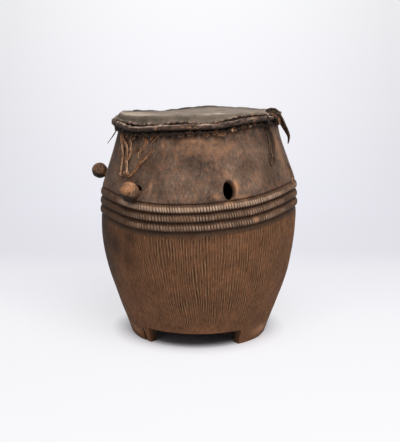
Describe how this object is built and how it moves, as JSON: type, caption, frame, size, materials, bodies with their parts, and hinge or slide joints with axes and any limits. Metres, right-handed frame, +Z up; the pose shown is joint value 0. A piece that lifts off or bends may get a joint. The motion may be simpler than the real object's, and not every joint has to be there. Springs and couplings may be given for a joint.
{
  "type": "talking drum",
  "caption": "Upright barrel-shaped wooden drum on feet, with a laced hide head, rope-carved bands, combed flutes and ball-headed tuning pegs that slide in oval holes.",
  "frame": {"origin": "on the floor, under the middle of the shell's axis", "axes": "+Z up along the shell's axis, -Y is the front, +X is the drum's right as seen from the front"},
  "size_m": [0.4048, 0.4004, 0.4405],
  "materials": {
    "carved_wood": "hand-carved, worn dark patina",
    "peg_wood": "whittled, handled smooth",
    "vine": "bent, raw",
    "drum_hide": "dried rawhide, matte",
    "thong_hide": "dried rawhide thong"
  },
  "bodies": {
    "drum": {"drum_shell": "carved_wood", "drum_head": "drum_hide", "head_hoop": "vine", "hide_flap": "drum_hide", "lacing_thong": "thong_hide", "lashing_loop": "thong_hide", "lashing_hairpin": "thong_hide", "lashing_strand": "thong_hide", "lashing_tail": "thong_hide", "lashing_tab": "thong_hide", "thong_loop_right": "thong_hide", "thong_tail_left": "thong_hide"},
    "peg_left": {"peg_left": "peg_wood"},
    "peg_left_front": {"peg_left_front": "peg_wood"},
    "peg_rear_right": {"peg_rear_right": "peg_wood"},
    "peg_rear_left": {"peg_rear_left": "peg_wood"}
  },
  "joints": [
    {"name": "peg_left_slide", "type": "slide", "parent": "drum", "child": "peg_left", "axis": [-0.9192, 0.1954, 0.342], "range_m": [-0.005, 0.045]},
    {"name": "peg_left_front_slide", "type": "slide", "parent": "drum", "child": "peg_left_front", "axis": [-0.585, -0.7354, 0.342], "range_m": [-0.001, 0.045]},
    {"name": "peg_rear_right_slide", "type": "slide", "parent": "drum", "child": "peg_rear_right", "axis": [0.6288, 0.6983, 0.342], "range_m": [-0.0065, 0.045]},
    {"name": "peg_rear_left_slide", "type": "slide", "parent": "drum", "child": "peg_rear_left", "axis": [-0.2904, 0.8937, 0.342], "range_m": [-0.0035, 0.045]}
  ]
}
